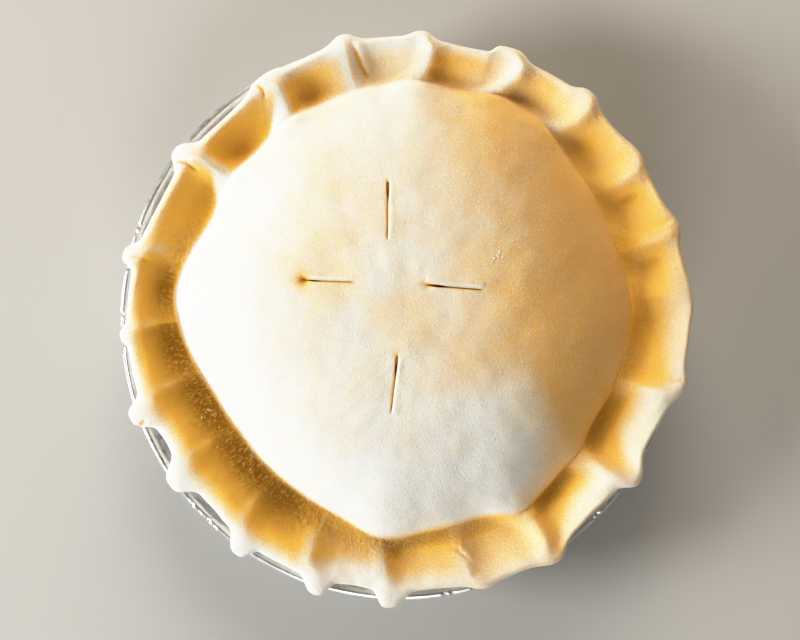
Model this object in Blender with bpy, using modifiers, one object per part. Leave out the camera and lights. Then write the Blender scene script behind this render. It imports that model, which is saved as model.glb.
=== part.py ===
"""A chicken pot pie, made up and not yet baked, in its own round foil tin.

The pie is one solid: a lined tin full of filling under a domed lid, whose raised
edge is pinched into flutes all round and whose top has four steam slits. The tin
is one thin shell with a flange and a rolled rim.
Metres, +Z up; the origin is the middle of the tin's flat base.
"""

import math

import bmesh
import bpy

# The tin
TIN_RADIUS = 0.1120          # to the outside of the rolled rim
TIN_DEPTH = 0.030            # from the table to the top of the flange
WALL_TOP_RADIUS = 0.1030
BASE_RADIUS = 0.0825         # of the flat part that stands on the table
FOIL_THICKNESS = 0.0004
ROLL_RADIUS = 0.0014         # of the rolled rim's round section
ROLL_RISE = 0.0006           # how far the roll stands above the flange
BEND = 0.0010                # size of the bend at either end of the wall
TIN_STEPS = 64

# The pie
TOUCH_GAP = 0.0003
LID_CENTRE = (0.0028, 0.0)
FOOT_RADIUS = 0.0875         # mean radius where the dome meets the edge
CREST_RADIUS = 0.1068        # mean radius of the top of the raised edge
EDGE_RADIUS = 0.1100         # mean radius of the outside of the edge
LIP_HEIGHT = 0.0090          # of the raised edge above the rim, between pinches
VALLEY_HEIGHT = 0.0016       # of the groove at the dome's foot, above the rim
DOME_HEIGHT = 0.0268         # of the lid's middle above the groove
EDGE_TUCK = 0.0012           # how far the underside is drawn in below the edge
RIDGE_WIDTH = 2.0            # degrees, half width of a pinch's ridge
PIE_STEPS = 180

# Every pinch in the edge: its direction in degrees from +X, the reach of its tip, the
# half widths of its lobe before and after the tip in degrees, how many degrees its
# ridge leans by the time it meets the dome, the ridge's rise at the dome's foot, half
# way out and at the crest, and the depth of the hollow after it. Lengths in millimetres.
PINCHES = [
    (3.5, 113.3, 3.6, 5.5, 2.5, 0.3, 0.9, 0.4, 2.0), (19.0, 113.8, 2.4, 3.6, -2.0, 0.7, 1.8, 0.7, 2.4),
    (35.5, 113.2, 2.4, 4.0, -0.5, 1.2, 2.4, 0.7, 3.0), (51.0, 115.8, 3.2, 2.8, 2.0, 2.4, 3.2, 1.1, 3.0),
    (68.4, 115.2, 3.4, 4.3, 0.6, 3.4, 3.6, 1.2, 3.8), (86.8, 114.4, 2.2, 2.8, 1.2, 3.4, 3.6, 1.2, 2.2),
    (102.8, 115.8, 2.8, 3.0, -0.3, 3.4, 3.0, 1.0, 3.4), (120.6, 112.3, 4.6, 4.2, -0.6, 4.0, 3.4, 1.0, 3.4),
    (143.8, 114.1, 3.2, 2.8, -2.8, 3.8, 3.2, 1.0, 3.0), (166.6, 115.3, 2.4, 2.4, -0.6, 1.4, 0.9, 0.3, 1.8),
    (183.0, 113.8, 1.8, 1.9, -2.5, 0.2, 0.4, 0.1, 0.9), (199.6, 116.3, 3.0, 2.8, -5.1, 0.2, 0.4, 0.1, 0.5),
    (214.6, 114.5, 3.3, 3.6, -3.6, 0.2, 0.4, 0.2, 0.5), (233.6, 114.9, 2.7, 2.7, -5.1, 0.2, 0.3, 0.1, 0.6),
    (251.6, 114.6, 3.2, 2.2, -5.0, 0.4, 0.9, 0.3, 0.9), (265.9, 114.1, 2.2, 4.0, -2.7, 0.7, 1.2, 0.5, 1.8),
    (286.3, 110.6, 3.0, 3.0, -3.5, 0.4, 0.8, 0.4, 1.5), (302.3, 112.6, 4.2, 3.2, -1.3, 3.4, 3.4, 1.1, 3.2),
    (324.8, 112.2, 2.4, 4.0, -3.3, 2.4, 3.2, 1.1, 2.6), (346.5, 113.3, 3.4, 3.2, -2.7, 1.1, 2.6, 1.0, 2.0),
]

# The outside of the edge between the tips: direction in degrees, radius in millimetres.
HOLLOWS = [
    (10, 111.6), (27, 111.0), (43, 111.5), (58, 112.8), (77, 109.6), (94, 112.2), (111, 111.0),
    (131, 107.4), (155, 108.2), (175, 110.6), (191, 110.6), (208, 105.9), (224, 106.7),
    (242, 108.6), (260, 106.6), (276, 106.5), (294, 109.2), (314, 105.5), (335, 107.0), (355, 111.8),
]

# The dome's uneven foot: direction in degrees, radius in millimetres.
FOOT_OUTLINE = [
    (0, 90.0), (20, 87.8), (40, 89.8), (58, 94.0), (75, 94.2), (94, 94.8), (112, 92.2), (131, 90.0),
    (153, 87.2), (174, 93.0), (186, 88.2), (201, 82.6), (220, 80.6), (240, 81.8), (261, 88.0),
    (275, 85.0), (290, 84.6), (301, 88.0), (318, 85.2), (330, 84.6), (345, 86.6),
]

# The four steam slits: the open end, the closed end, and the width at each, in metres.
SLITS = [
    ((-0.0047, 0.0528), (-0.0048, 0.0311), 0.0016, 0.0007),
    ((-0.0362, 0.0152), (-0.0179, 0.0144), 0.0014, 0.0006),
    ((0.0106, 0.0133), (0.0310, 0.0115), 0.0015, 0.0006),
    ((-0.0011, -0.0137), (-0.0034, -0.0349), 0.0016, 0.0007),
]
SLIT_DEPTH = 0.0045

# Heights that follow from the sizes above
ROLL_TOP = TIN_DEPTH + ROLL_RISE
RIM_LEVEL = ROLL_TOP + TOUCH_GAP          # the underside of the pie's edge
VALLEY = RIM_LEVEL + VALLEY_HEIGHT
CREST = RIM_LEVEL + LIP_HEIGHT


def clear_scene():
    """Remove whatever the file starts with."""
    for obj in list(bpy.data.objects):
        bpy.data.objects.remove(obj, do_unlink=True)


def new_collection(name):
    """A collection linked to the scene."""
    collection = bpy.data.collections.new(name)
    bpy.context.scene.collection.children.link(collection)
    return collection


def new_material(name, colour, roughness, metallic):
    """A Principled material of one plain colour."""
    material = bpy.data.materials.new(name)
    material.use_nodes = True
    shader = material.node_tree.nodes["Principled BSDF"]
    shader.inputs["Base Color"].default_value = (*colour, 1.0)
    shader.inputs["Roughness"].default_value = roughness
    shader.inputs["Metallic"].default_value = metallic
    return material


def ease(value):
    """A smooth step from 0 to 1."""
    value = min(max(value, 0.0), 1.0)
    return value * value * (3.0 - 2.0 * value)


def turn_between(start, end):
    """The signed angle in degrees from start to end, the short way round."""
    return (end - start + 180.0) % 360.0 - 180.0


def smooth_outline(points, angle):
    """A closed smooth curve through (angle, radius) points, read at one angle."""
    count = len(points)
    index = 0
    for i in range(count):
        if (angle - points[i][0]) % 360.0 < (points[(i + 1) % count][0] - points[i][0]) % 360.0:
            index = i
    before, start, end, after = (points[(index + k) % count] for k in (-1, 0, 1, 2))
    span = (end[0] - start[0]) % 360.0
    at = ((angle - start[0]) % 360.0) / span
    slope_in = (end[1] - before[1]) / ((end[0] - before[0]) % 360.0) * span
    slope_out = (after[1] - start[1]) / ((after[0] - start[0]) % 360.0) * span
    return (start[1] * (1 + 2 * at) * (1 - at) ** 2 + slope_in * at * (1 - at) ** 2
            + end[1] * at * at * (3 - 2 * at) - slope_out * at * at * (1 - at))


def bowed(start, middle, end, out):
    """A value that passes smoothly through three others at out 0, 0.5 and 1."""
    return start + (4 * middle - 3 * start - end) * out + (2 * end + 2 * start - 4 * middle) * out ** 2


def edge_radius(angle):
    """The outside of the edge: a lobe at each pinch, over the line of the hollows."""
    base = smooth_outline(HOLLOWS, angle)
    stand = 0.0
    for tip, reach, before, after, *_ in PINCHES:
        away = turn_between(tip, angle)
        width = before if away < 0 else after
        lobe = 0.8 * math.exp(-abs(away / width) ** 2.6) + 0.2 * math.exp(-(away / (width + 4.0)) ** 2)
        stand = max(stand, (reach - smooth_outline(HOLLOWS, tip)) * lobe)
    return (base + stand) / 1000.0


def foot_radius(angle):
    """The radius where the dome meets the edge."""
    return smooth_outline(FOOT_OUTLINE, angle) / 1000.0


def ridge(angle, out):
    """Rise of the pinched ridges; out runs from 0 at the dome's foot to 1 at the crest."""
    rise = 0.0
    for tip, _, _, _, lean, foot, middle, crest, _ in PINCHES:
        away = turn_between(tip + lean * (1.0 - out), angle)
        height = bowed(foot, middle, crest, out) / 1000.0
        rise = max(rise, height * math.exp(-(abs(away) / RIDGE_WIDTH) ** 2))
    return rise


def hollow(angle, out):
    """Depth of the thumb's hollow between two ridges."""
    count = len(PINCHES)
    for index, pinch in enumerate(PINCHES):
        after = PINCHES[(index + 1) % count]
        start = pinch[0] + pinch[4] * (1.0 - out)
        span = (after[0] + after[4] * (1.0 - out) - start) % 360.0
        share = ((angle - start) % 360.0) / span
        if share < 1.0:
            return pinch[8] / 1000.0 * math.sin(math.pi * out) * math.sin(math.pi * share) ** 1.4
    return 0.0


def dome_rise(out):
    """Height of the lid above its foot; out runs from 0 at the middle to 1 at the foot."""
    return DOME_HEIGHT * (1.0 - min(out, 1.0) ** 3) ** 0.8


def lid_height(x, y):
    """Height of the dome's surface over a point."""
    x -= LID_CENTRE[0]
    y -= LID_CENTRE[1]
    angle = math.degrees(math.atan2(y, x))
    return VALLEY + dome_rise(math.hypot(x, y) / foot_radius(angle))


def mean_section():
    """The pie's section before it is shaped, from the top of the dome to the base."""
    section = [(0.0, VALLEY + DOME_HEIGHT)]
    for out in (0.4, 0.65, 0.83, 0.94):
        section.append((out * FOOT_RADIUS, VALLEY + dome_rise(out)))
    section.append((FOOT_RADIUS, VALLEY))
    for out in (0.3, 0.6, 0.85):
        radius = FOOT_RADIUS + out * (CREST_RADIUS - FOOT_RADIUS)
        section.append((radius, VALLEY + ease(out) * (CREST - VALLEY)))
    section.append((CREST_RADIUS, CREST))
    section.append((EDGE_RADIUS - 0.0010, RIM_LEVEL + 0.72 * LIP_HEIGHT))
    section.append((EDGE_RADIUS, RIM_LEVEL + 0.32 * LIP_HEIGHT))
    section.append((EDGE_RADIUS - EDGE_TUCK, RIM_LEVEL))
    clear = 0.85 * (FOIL_THICKNESS + TOUCH_GAP)      # sideways, from the sloping wall
    floor = FOIL_THICKNESS + TOUCH_GAP
    wall_top = WALL_TOP_RADIUS - clear
    section.append((wall_top, RIM_LEVEL))
    section.append((wall_top, TIN_DEPTH - BEND + 0.5 * floor))
    section.append((BASE_RADIUS + 2.0 * BEND - clear, BEND + floor))
    section.append((BASE_RADIUS - 0.5 * BEND, floor))
    section.append((0.0, floor))
    return section


def turned_mesh(name, section, steps):
    """The closed mesh that a section makes when it is turned about Z."""
    profile = bpy.data.meshes.new(name + "_section")
    edges = [(i, i + 1) for i in range(len(section) - 1)]
    profile.from_pydata([(radius, 0.0, height) for radius, height in section], edges, [])
    turning = bpy.data.objects.new(name + "_turning", profile)
    bpy.context.scene.collection.objects.link(turning)
    add_screw(turning, steps)
    bpy.context.view_layer.update()
    turned = bpy.data.meshes.new_from_object(turning.evaluated_get(bpy.context.evaluated_depsgraph_get()))
    bpy.data.objects.remove(turning, do_unlink=True)
    bpy.data.meshes.remove(profile)
    turned.name = name
    return turned


def add_screw(obj, steps):
    """A full turn about Z, closed at the seam and the poles."""
    screw = obj.modifiers.new("Turn", "SCREW")
    screw.steps = steps
    screw.render_steps = steps
    screw.use_merge_vertices = True
    screw.merge_threshold = 0.00001
    screw.use_smooth_shade = True


def shape_point(point):
    """Move one point of the turned pie to where the hand-made crust has it."""
    radius = math.hypot(point.x, point.y)
    if point.z < RIM_LEVEL + 0.00001 and radius < WALL_TOP_RADIUS:
        return point
    angle = math.degrees(math.atan2(point.y, point.x))
    foot = foot_radius(angle)
    height = point.z
    if radius <= FOOT_RADIUS:
        reach = radius / FOOT_RADIUS * foot
    else:
        out = min((radius - FOOT_RADIUS) / (CREST_RADIUS - FOOT_RADIUS), 1.0)
        reach = foot + (radius - FOOT_RADIUS) / (EDGE_RADIUS - FOOT_RADIUS) * (edge_radius(angle) - foot)
        share = min(max((point.z - RIM_LEVEL) / LIP_HEIGHT, 0.0), 1.0)
        height += (ridge(angle, out) - hollow(angle, out)) * share
    x = LID_CENTRE[0] + reach * math.cos(math.radians(angle))
    y = LID_CENTRE[1] + reach * math.sin(math.radians(angle))
    return (x, y, height)


def slit_cutter(index, slit, collection):
    """A thin wedge, standing in the lid along one slit."""
    start, end, start_width, end_width = slit
    length = math.dist(start, end)
    side = ((start[1] - end[1]) / length, (end[0] - start[0]) / length)
    mesh = bpy.data.meshes.new(f"slit_{index}")
    shape = bmesh.new()
    bmesh.ops.create_cube(shape, size=1.0)
    for vert in shape.verts:
        place, width = (start, start_width) if vert.co.x < 0 else (end, end_width)
        shift = vert.co.y * width
        level = lid_height(*place) + (0.003 if vert.co.z > 0 else -SLIT_DEPTH)
        vert.co = (place[0] + side[0] * shift, place[1] + side[1] * shift, level)
    bmesh.ops.recalc_face_normals(shape, faces=shape.faces)
    shape.to_mesh(mesh)
    shape.free()
    cutter = bpy.data.objects.new(f"slit_{index}", mesh)
    cutter.hide_render = True
    cutter.display_type = "WIRE"
    collection.objects.link(cutter)
    return cutter


def make_pie(collection, cutters):
    """The whole pie: turned, shaped by hand, and slit."""
    mesh = turned_mesh("pie", mean_section(), PIE_STEPS)
    for vert in mesh.vertices:
        vert.co = shape_point(vert.co.copy())
    mesh.materials.clear()
    mesh.materials.append(new_material("dough", (0.83, 0.66, 0.42), 0.75, 0.0))
    mesh.shade_smooth()
    mesh.set_sharp_from_angle(angle=math.radians(50))
    pie = bpy.data.objects.new("pie", mesh)
    collection.objects.link(pie)
    for index, slit in enumerate(SLITS, 1):
        cut = pie.modifiers.new(f"Slit {index}", "BOOLEAN")
        cut.operation = "DIFFERENCE"
        cut.solver = "EXACT"
        cut.object = slit_cutter(index, slit, cutters)
    return pie


def tin_section():
    """The foil's outer face, from the end of the rolled rim to the middle of the base."""
    inside = ROLL_RADIUS - FOIL_THICKNESS
    middle = (TIN_RADIUS - ROLL_RADIUS, ROLL_TOP - ROLL_RADIUS)
    underside = TIN_DEPTH - FOIL_THICKNESS
    meets = 180.0 - math.degrees(math.asin((underside - middle[1]) / inside))
    section = []
    for angle in (-150, -100, -50, 0, 50, 100, meets):
        turn = math.radians(angle)
        section.append((middle[0] + inside * math.cos(turn), middle[1] + inside * math.sin(turn)))
    section.append((WALL_TOP_RADIUS + BEND, underside))
    section.append((WALL_TOP_RADIUS, underside - 0.5 * BEND))
    section.append((BASE_RADIUS + 2.0 * BEND, BEND))
    section.append((BASE_RADIUS, 0.0))
    section.append((0.0, 0.0))
    return section


def make_tin(collection):
    """The foil tin: its outer face turned, then given the foil's thickness inwards."""
    section = tin_section()
    mesh = bpy.data.meshes.new("foil_tin")
    edges = [(i, i + 1) for i in range(len(section) - 1)]
    mesh.from_pydata([(radius, 0.0, height) for radius, height in section], edges, [])
    mesh.materials.append(new_material("foil", (0.80, 0.81, 0.82), 0.25, 1.0))
    tin = bpy.data.objects.new("foil_tin", mesh)
    collection.objects.link(tin)
    add_screw(tin, TIN_STEPS)
    wall = tin.modifiers.new("Foil", "SOLIDIFY")
    wall.thickness = FOIL_THICKNESS
    wall.offset = -1.0
    return tin


def main():
    """Make the tin and the pie in it."""
    clear_scene()
    parts = new_collection("chicken_pot_pie")
    cutters = new_collection("cutters")
    make_tin(parts)
    make_pie(parts, cutters)


main()
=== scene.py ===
# %% [markdown]
# # A chicken pot pie in its foil tin
# The pie is raw: a disc of pastry is laid over a heap of filling in a lined foil tin, its edge is pinched
# between thumb and finger all the way round, and four slits are cut in the top for the steam. The solids that
# give its true size are loaded first, as a fixed frame. Everything made below fits around or replaces them.

# %% Open the frame
import math
from collections import namedtuple

import bmesh
import bpy
import numpy as np
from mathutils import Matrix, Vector
from mathutils.bvhtree import BVHTree


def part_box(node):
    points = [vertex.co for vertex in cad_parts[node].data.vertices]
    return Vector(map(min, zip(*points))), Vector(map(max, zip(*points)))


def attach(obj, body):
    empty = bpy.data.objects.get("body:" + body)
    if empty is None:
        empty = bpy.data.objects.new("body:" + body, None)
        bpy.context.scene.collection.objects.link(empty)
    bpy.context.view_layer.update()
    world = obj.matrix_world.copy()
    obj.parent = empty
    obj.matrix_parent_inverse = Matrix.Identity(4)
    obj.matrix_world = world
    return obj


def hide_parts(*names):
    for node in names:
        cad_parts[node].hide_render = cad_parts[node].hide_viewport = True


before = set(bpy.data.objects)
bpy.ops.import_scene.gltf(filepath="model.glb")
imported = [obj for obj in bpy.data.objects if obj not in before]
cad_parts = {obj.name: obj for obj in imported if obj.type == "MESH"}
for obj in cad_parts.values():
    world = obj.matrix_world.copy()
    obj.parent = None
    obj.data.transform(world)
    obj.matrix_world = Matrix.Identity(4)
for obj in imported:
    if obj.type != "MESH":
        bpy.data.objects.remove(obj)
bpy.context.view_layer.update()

pie_low, pie_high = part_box("pie")
tin_low, tin_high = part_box("foil_tin")
TIN_RADIUS = (tin_high.x - tin_low.x) / 2
ROLL_TOP = tin_high.z
print(f"the tin is {2000 * TIN_RADIUS:.1f} mm across and its roll stands {1000 * ROLL_TOP:.1f} mm high")
print(f"the pie's top is at {1000 * pie_high.z:.1f} mm")

# %% [markdown]
# ## Tools for working as by hand
# An operator acts on whatever is selected, so each step starts from nothing selected, takes one piece into
# edit mode, and picks its points by where they are. These few helpers do only that.

# %% Selecting and editing


def clear():
    """Object mode, with nothing selected."""
    if bpy.context.mode != "OBJECT":
        bpy.ops.object.mode_set(mode="OBJECT")
    bpy.ops.object.select_all(action="DESELECT")


def take(piece):
    """Select this piece alone, in object mode."""
    clear()
    piece.select_set(True)
    bpy.context.view_layer.objects.active = piece


def open_up(piece):
    """Take this piece into edit mode with nothing selected."""
    take(piece)
    bpy.ops.object.mode_set(mode="EDIT")
    bpy.ops.mesh.select_mode(type="VERT")
    bpy.ops.mesh.select_all(action="DESELECT")


def pick(piece, test):
    """Select the points that pass a test on their place, and say how many."""
    shape = bmesh.from_edit_mesh(piece.data)
    for vert in shape.verts:
        vert.select = bool(test(vert.co))
    shape.select_flush(True)
    bmesh.update_edit_mesh(piece.data)
    return sum(vert.select for vert in shape.verts)


def close_up():
    """Back to object mode."""
    bpy.ops.object.mode_set(mode="OBJECT")


def over_all(piece, operator, **settings):
    """Run an edit-mode operator on the whole mesh."""
    open_up(piece)
    bpy.ops.mesh.select_all(action="SELECT")
    operator(**settings)
    close_up()


def new_piece(name, operator, **sizes):
    """Add a primitive with nothing else selected, and name it."""
    clear()
    operator(**sizes)
    piece = bpy.context.object
    piece.name = name
    piece.data.name = name
    return piece


def apply_modifier(piece, kind, **settings):
    """Add a modifier, set it and apply it."""
    take(piece)
    modifier = piece.modifiers.new(kind.title(), kind)
    for key, value in settings.items():
        setattr(modifier, key, value)
    bpy.ops.object.modifier_apply(modifier=modifier.name)


def refine(piece, test, cuts, where):
    """Subdivide the part of a mesh whose points pass a test."""
    open_up(piece)
    print(f"points {where}:", pick(piece, test))
    bpy.ops.mesh.subdivide(number_cuts=cuts, smoothness=0, ngon=True)
    close_up()
    print(f"subdivided {where}: {triangles(piece)} triangles")


def triangles(piece):
    """How many triangles a mesh makes."""
    piece.data.calc_loop_triangles()
    return len(piece.data.loop_triangles)


# %% [markdown]
# ## Turning a section
# Both the pie and its tin are round, so each starts as a section: a string of points extruded one after the
# other from a single point, and then spun once about the upright axis. A lathe would do it with a Screw
# modifier; spinning by operator leaves a plain mesh that can be shaped at once.

# %% A section, spun
DOUBLES = 0.00001  # points nearer than this, in metres, are one point


def spin_section(name, section, steps):
    """Extrude a section of (radius, height) point by point and spin it into a closed round."""
    piece = new_piece(name, bpy.ops.mesh.primitive_plane_add, size=0.001)
    bpy.ops.object.mode_set(mode="EDIT")
    bpy.ops.mesh.select_mode(type="VERT")
    bpy.ops.mesh.merge(type="CENTER")
    bpy.ops.transform.translate(value=(section[0][0], 0.0, section[0][1]))
    for before, after in zip(section, section[1:]):
        step = (after[0] - before[0], 0.0, after[1] - before[1])
        bpy.ops.mesh.extrude_region_move(TRANSFORM_OT_translate={"value": step})
    bpy.ops.mesh.select_all(action="SELECT")
    bpy.ops.mesh.spin(steps=steps, angle=2 * math.pi, center=(0, 0, 0), axis=(0, 0, 1))
    bpy.ops.mesh.select_all(action="SELECT")
    bpy.ops.mesh.remove_doubles(threshold=DOUBLES)
    bpy.ops.mesh.normals_make_consistent(inside=False)
    close_up()
    print(f"{name}: {len(section)} points spun {steps} times, {triangles(piece)} triangles")
    return piece

# %% [markdown]
# ## The section of the crust
# From the middle outwards the section climbs down the domed lid, turns in a groove at the dome's foot, rises
# to the crest of the thick edge, rolls over it and tucks under on to the tin's rim. Inside the tin it follows
# the foil. Sizes here are in millimetres, since dough is measured that way, and become metres only in the
# mesh.

# %% The crust's sizes and its section
MM = 0.001
RIM_LEVEL = ROLL_TOP / MM + 0.3
LID_CENTRE = np.array((2.8, 0.0))
FOOT = 87.5
CREST = 106.8
EDGE = 110.0
GROOVE_LEVEL = RIM_LEVEL + 1.6
CREST_LEVEL = RIM_LEVEL + 9.0
LIP_ROUND = 3.6
LIP_SQUARE = 0.85
TUCK = 2.4
CRUST_STEPS = 360
DOME_RISE = pie_high.z / MM - GROOVE_LEVEL
# How flat the dome is on top, and how round it turns down to its foot.
DOME_FLAT, DOME_ROUND = 3.0, 0.8
WALL_TOP = 102.3
FLOOR_LEVEL = pie_low.z / MM


def ease(value):
    """A smooth step from 0 to 1."""
    value = np.clip(value, 0.0, 1.0)
    return value * value * (3.0 - 2.0 * value)


def bell(gap, half):
    """1 where the gap is nothing, falling smoothly to nothing at about twice the half width."""
    return np.exp(-((gap / half) ** 2))


def dome(out):
    """The lid's rise above the groove; out runs from 0 at the middle to 1 at the foot."""
    return DOME_RISE * (1.0 - np.clip(out, 0.0, 1.0) ** DOME_FLAT) ** DOME_ROUND


def crust_section():
    """The turned crust's section, in metres, from the top of the dome to the middle of the base."""
    radii = np.concatenate((np.linspace(0, 76, 39), np.linspace(77.0, FOOT, 12)))
    points = [(radius, GROOVE_LEVEL + dome(radius / FOOT)) for radius in radii]
    for out in np.linspace(0.03, 1.0, 30):
        radius = FOOT + out * (CREST - FOOT)
        points.append((radius, GROOVE_LEVEL + ease(out) * (CREST_LEVEL - GROOVE_LEVEL)))
    for turn in np.radians(np.linspace(10, 90, 9)):
        points.append((CREST + (EDGE - CREST) * math.sin(turn) ** LIP_SQUARE,
                       CREST_LEVEL - LIP_ROUND * (1.0 - math.cos(turn) ** LIP_SQUARE)))
    for turn in np.radians(np.linspace(0, 80, 5)):
        points.append((EDGE - TUCK * (1.0 - math.cos(turn)), RIM_LEVEL + TUCK * (1.0 - math.sin(turn))))
    points += [(EDGE - TUCK - 0.6, RIM_LEVEL), (104.8, RIM_LEVEL), (WALL_TOP, RIM_LEVEL), (WALL_TOP, 29.3)]
    points += [(93.3, 15.5), (84.0, 1.7), (82.0, FLOOR_LEVEL), (50.0, FLOOR_LEVEL), (0.0, FLOOR_LEVEL)]
    return [(radius * MM, height * MM) for radius, height in points]


dough = spin_section("pie_dough", crust_section(), CRUST_STEPS)

# %% [markdown]
# ## More points where the hands worked
# A turned mesh has its points in the wrong places: needles at the middle and wide gaps at the edge, which is
# where all the shape is. So only the ring edges out there are subdivided, and only round the slits once more.
# A second way would be a Multiresolution modifier, but it would spend as many points on the smooth dome.

# %% Subdivide the edge
CLOSE_RING = 0.0795  # rings further out than this, in metres, are subdivided
SAME = 1e-6  # heights and radii nearer than this, in metres, count as the same


def subdivide_rings(piece, test, cuts):
    """Cut the edges that run round the axis, where both ends pass a test on their place."""
    open_up(piece)
    bpy.ops.mesh.select_mode(type="EDGE")
    shape = bmesh.from_edit_mesh(piece.data)
    for edge in shape.edges:
        one, two = (vert.co for vert in edge.verts)
        level_ring = abs(one.z - two.z) < SAME and abs(one.xy.length - two.xy.length) < SAME
        edge.select = bool(level_ring and test(one) and test(two))
    bmesh.update_edit_mesh(piece.data)
    bpy.ops.mesh.subdivide(number_cuts=cuts, smoothness=0)
    shape = bmesh.from_edit_mesh(piece.data)
    for vert in shape.verts:
        if vert.select and vert.co.xy.length > 0:
            others = [edge.other_vert(vert) for edge in vert.link_edges if edge.other_vert(vert).select]
            ring = max([other.co.xy.length for other in others if abs(other.co.z - vert.co.z) < SAME]
                       + [vert.co.xy.length])
            vert.co.xy *= ring / vert.co.xy.length
    bmesh.update_edit_mesh(piece.data)
    close_up()


subdivide_rings(dough, lambda place: place.xy.length > CLOSE_RING and place.z > RIM_LEVEL * MM - DOUBLES, 2)
print("with a fine edge:", triangles(dough), "triangles")

# %% Subdivide round the slits
Slit = namedtuple("Slit", "start end wide narrow at reach pushed lip roll")
# Each slit, in mm: where the blade went in and where it came out; half the width of the gap where it is
# widest and along the rest; where it is widest and how far that reaches, as shares of the length; how far the
# dough is pushed down at the start; and on the side that the blade leaned to, how wide the dip is and how
# high the roll stands.
SLITS = [
    Slit((-4.7, 52.8), (-4.8, 31.1), .85, .22, 0, .2, .2, 1.1, .24),
    Slit((-36.2, 15.2), (-17.9, 14.4), .42, .14, .12, .16, 1, .6, .35),
    Slit((10.6, 13.3), (31, 11.5), .6, .24, .1, .2, .5, .7, .45),
    Slit((-1.1, -13.7), (-3.4, -34.9), .75, .3, 0, .22, .3, 1.2, .28),
]
PATCH_ROOM = 4.2  # points nearer to a slit than this, in mm, are doubled twice


def along_and_across(slit, places):
    """Distances from a slit's deep end along it, and across it to the left, with its length."""
    start, end = np.array(slit.start), np.array(slit.end)
    length = math.dist(start, end)
    along_way = (end - start) / length
    across_way = np.array((-along_way[1], along_way[0]))
    flat = np.asarray(places)[..., :2] - start
    return flat @ along_way, flat @ across_way, length


def beside_a_slit(place):
    """Whether a point of the turned mesh will lie close to a slit."""
    flat = np.array((place.x, place.y)) / MM + LID_CENTRE
    if place.z < GROOVE_LEVEL * MM:
        return False
    for slit in SLITS:
        along, across, length = along_and_across(slit, flat)
        if -PATCH_ROOM < along < length + PATCH_ROOM and abs(across) < PATCH_ROOM:
            return True
    return False


refine(dough, beside_a_slit, 3, "beside the slits")

# %% [markdown]
# ## Pinching the edge
# The edge is what makes this crust hand-made: every pinch has its own direction, reach and lean, and the
# thumb's hollow between two pinches is never twice the same. Pushing each one with proportional editing would
# work, but it can't be set to a size. So each pinch is one line in a table, and the points are moved by what
# the table says, the way a sculptor would pull them.

# %% The pinches and the dome's foot
Pinch = namedtuple("Pinch", "tip crest middle foot reach before after square"
                   " rise_tip rise_crest rise_middle rise_foot hollow")
# Each pinch: directions in degrees of its tip, and of its ridge at the crest, half way in and at the dome's
# foot; reach of the tip, its half widths before and after in degrees, and how square it is; rise of the ridge
# at the tip and at the same three places; depth of the hollow after it.
PINCHES = [Pinch(*sizes) for sizes in (
    (3.5, 5, 5.5, 6, 113.3, 3.6, 5.5, 2, 0, .4, .9, .3, 2),
    (19, 18.3, 17.6, 17, 113.8, 2.4, 3.6, 2.4, .3, .7, 1.8, .7, 2.4),
    (35.5, 32.8, 33, 34.5, 113.2, 2.4, 4, 2.4, .2, .6, 1.8, .9, 2.6),
    (51, 49.4, 49.6, 52.5, 115.8, 3.2, 2.8, 3, .4, 1, 2.7, 2, 2.4),
    (68.4, 65.8, 65.8, 69, 115.2, 3.4, 3.9, 8, .4, 1.1, 3, 2.4, 2.8),
    (86.8, 85, 85.2, 87, 114.4, 2.2, 2.8, 2.4, .4, 1.1, 3, 2.4, 2.2),
    (102.8, 103, 102.8, 102.5, 115.8, 2.8, 3, 2.2, .3, .6, 1.5, 1.6, 3.2),
    (120.6, 119.2, 119, 120, 112.3, 4.6, 4.2, 4, .2, 1, 3.4, 4, 3.4),
    (143.8, 142, 141.8, 141, 114.1, 3.2, 2.8, 3, .2, 1, 3.2, 3.8, 3),
    (166.6, 165, 164.5, 166, 115.3, 2.4, 2.4, 5, 0, .3, .9, 1.4, 1.8),
    (183, 181.3, 181, 180.5, 113.8, 1.8, 1.9, 2.6, 0, .1, .4, .2, .9),
    (199.6, 196, 195, 194.5, 116.3, 3, 2.8, 4, 0, .1, .4, .2, .5),
    (214.6, 212, 211.5, 211, 114.5, 3.3, 3.6, 4, 0, .2, .4, .2, .5),
    (233.6, 230.5, 229.5, 228.5, 114.9, 2.7, 2.7, 4, 0, .1, .3, .2, .6),
    (251.6, 247.4, 247, 246.6, 114.6, 3.2, 2.2, 3.4, 0, .3, .9, .4, .9),
    (265.9, 265.5, 264.6, 263.2, 114.1, 2.2, 4, 3, 0, .5, 1.2, .7, 1.8),
    (286.3, 284, 283.3, 282.8, 110.6, 3, 3, 2, 0, .4, .8, .4, 1.5),
    (302.3, 300.3, 302.3, 301, 112.6, 4.2, 3.2, 2.2, .3, 1.1, 3.4, 3.4, 3.2),
    (324.8, 322.5, 322.8, 321.5, 112.2, 2.4, 4, 2.6, .3, 1.1, 3.2, 2.4, 2.6),
    (346.5, 344.2, 344.2, 343.8, 113.3, 3.4, 3.2, 2.2, .2, 1, 2.6, 1.1, 2),
)]
# Ridges up to this direction are steep on the side before them, the others on the side after them.
STEEP_BEFORE = 150.0
# The outline between the tips: direction in degrees and radius.
HOLLOWS = [
    (10, 111.6), (27, 111), (43, 111.5), (58, 112.8), (77, 109.8), (94, 112.2), (111, 111.4), (131, 107.4),
    (155, 108.2), (175, 110.6), (191, 110.6), (208, 105.9), (224, 106.7), (242, 108.6), (260, 106.6),
    (276, 106.5), (294, 109.2), (314, 105.5), (335, 107), (355, 111.8),
]
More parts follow.
